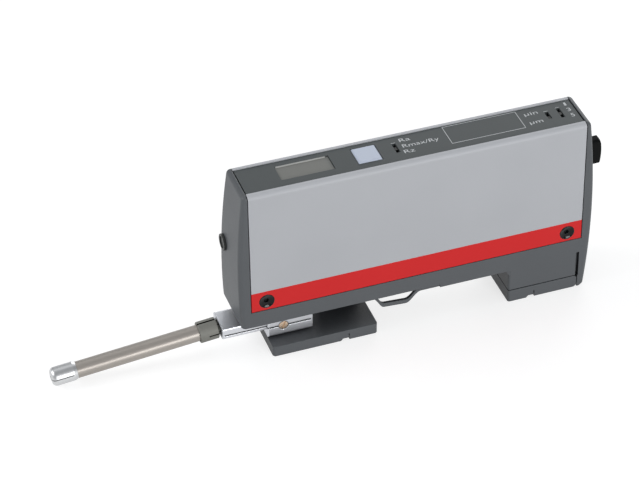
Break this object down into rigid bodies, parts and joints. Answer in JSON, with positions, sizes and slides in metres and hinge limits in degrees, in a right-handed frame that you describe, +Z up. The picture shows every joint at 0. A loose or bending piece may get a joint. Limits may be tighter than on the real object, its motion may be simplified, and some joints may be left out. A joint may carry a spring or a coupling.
{
  "type": "surface roughness tester",
  "caption": "Flat hand-held surface roughness tester on two feet, silver covers with a red band, controls along the top, and a slim probe on a swivelling holder below",
  "frame": {"origin": "middle of the front foot's underside, on the standing plane", "axes": "+X runs along the housing away from the probe, the front cover faces -Y, +Z is up from the feet"},
  "size_m": [0.2166, 0.0252, 0.075],
  "materials": {
    "housing": "dark grey fine-textured paint on a casting",
    "cover": "silver paint with a red band along the lower edge",
    "black_screw": "blackened steel",
    "overlay": "dark grey printed film on a plate",
    "display": "clear window over a grey display",
    "display_body": "moulded display body",
    "board": "solder-masked circuit board",
    "steel": "bright steel",
    "button": "pale blue grey moulding",
    "black_plastic": "black moulding",
    "battery": "plain jacket, no print",
    "cap": "black rubber",
    "plug": "dark grey moulding",
    "aluminium": "machined",
    "brass": "turned brass",
    "plated": "bright nickel plating",
    "collar": "dull grey, turned",
    "tube": "stainless tube",
    "tip": "polished steel nosepiece",
    "copper": "enamelled copper wire"
  },
  "bodies": {
    "housing": {"frame": "housing", "front_cover": "cover", "rear_cover": "cover", "cover_screws": "black_screw", "top_overlay": "overlay", "display_window": "display", "display_module": "display_body", "key_board": "board", "key_board_screws": "steel", "start_switch": "black_plastic", "slide_switches": "steel", "main_board": "board", "board_chips": "black_plastic", "battery": "battery", "battery_clip": "black_plastic", "connector_socket": "black_plastic", "connector_cap": "cap", "end_plug": "plug", "drive_base": "aluminium", "drive_screws": "steel", "guide_rods": "steel", "gearhead": "brass", "drive_motor": "steel", "front_foot": "housing", "foot_screws": "black_screw"},
    "start_key": {"start_button": "button", "switch_plunger": "black_plastic"},
    "parameter_switch": {"parameter_knob": "black_plastic"},
    "unit_switch": {"unit_knob": "black_plastic"},
    "cutoff_switch": {"cutoff_knob": "black_plastic"},
    "door": {"battery_door": "housing", "door_pin": "steel"},
    "screw_train": {"lead_screw": "steel", "shaft_coupling": "aluminium", "motor_shaft": "steel"},
    "traverse_carriage": {"carriage": "aluminium", "lead_nut": "brass", "swivel_pin": "steel"},
    "holder": {"swivel_holder": "plated", "clamp_screw": "brass", "tilt_pin": "steel"},
    "probe": {"probe_collar": "collar", "probe_tube": "tube", "probe_tip": "tip", "pickup_coil": "copper"},
    "needle": {"stylus": "steel"}
  },
  "joints": [
    {"name": "start_press", "type": "slide", "parent": "housing", "child": "start_key", "axis": [0, 0, -1], "range_m": [0, 0.0006], "stiffness_N_per_m": 900, "springref_m": -0.0012},
    {"name": "parameter_slide", "type": "slide", "parent": "housing", "child": "parameter_switch", "axis": [0, 1, 0], "range_m": [-0.0017, 0.0017]},
    {"name": "unit_slide", "type": "slide", "parent": "housing", "child": "unit_switch", "axis": [0, 1, 0], "range_m": [0, 0.0023]},
    {"name": "cutoff_slide", "type": "slide", "parent": "housing", "child": "cutoff_switch", "axis": [0, 1, 0], "range_m": [-0.00195, 0.00195]},
    {"name": "door_hinge", "type": "hinge", "parent": "housing", "child": "door", "pos_m": [0.1009, 0, 0.0014], "axis": [0, -1, 0], "range_deg": [0, 95]},
    {"name": "traverse", "type": "slide", "parent": "housing", "child": "traverse_carriage", "axis": [1, 0, 0], "range_m": [0, 0.005]},
    {"name": "screw_spin", "type": "hinge", "parent": "housing", "child": "screw_train", "pos_m": [-0.00765, 0, 0.0264], "axis": [1, 0, 0], "range_deg": [0, 720]},
    {"name": "probe_swivel", "type": "hinge", "parent": "traverse_carriage", "child": "holder", "pos_m": [-0.01815, 0, 0.00935], "axis": [0, 0, 1], "range_deg": [-90, 180]},
    {"name": "probe_tilt", "type": "hinge", "parent": "holder", "child": "probe", "pos_m": [-0.03415, 0, 0.01007], "axis": [0, 1, 0], "range_deg": [0, 5.3]},
    {"name": "stylus_lift", "type": "slide", "parent": "probe", "child": "needle", "axis": [-0.0924, 0, 0.9957], "range_m": [0, 0.00025], "stiffness_N_per_m": 4, "springref_m": -0.001}
  ],
  "couplings": [
    {"joint": "screw_spin", "follows": "traverse", "rad_per_m": 2513.3}
  ]
}
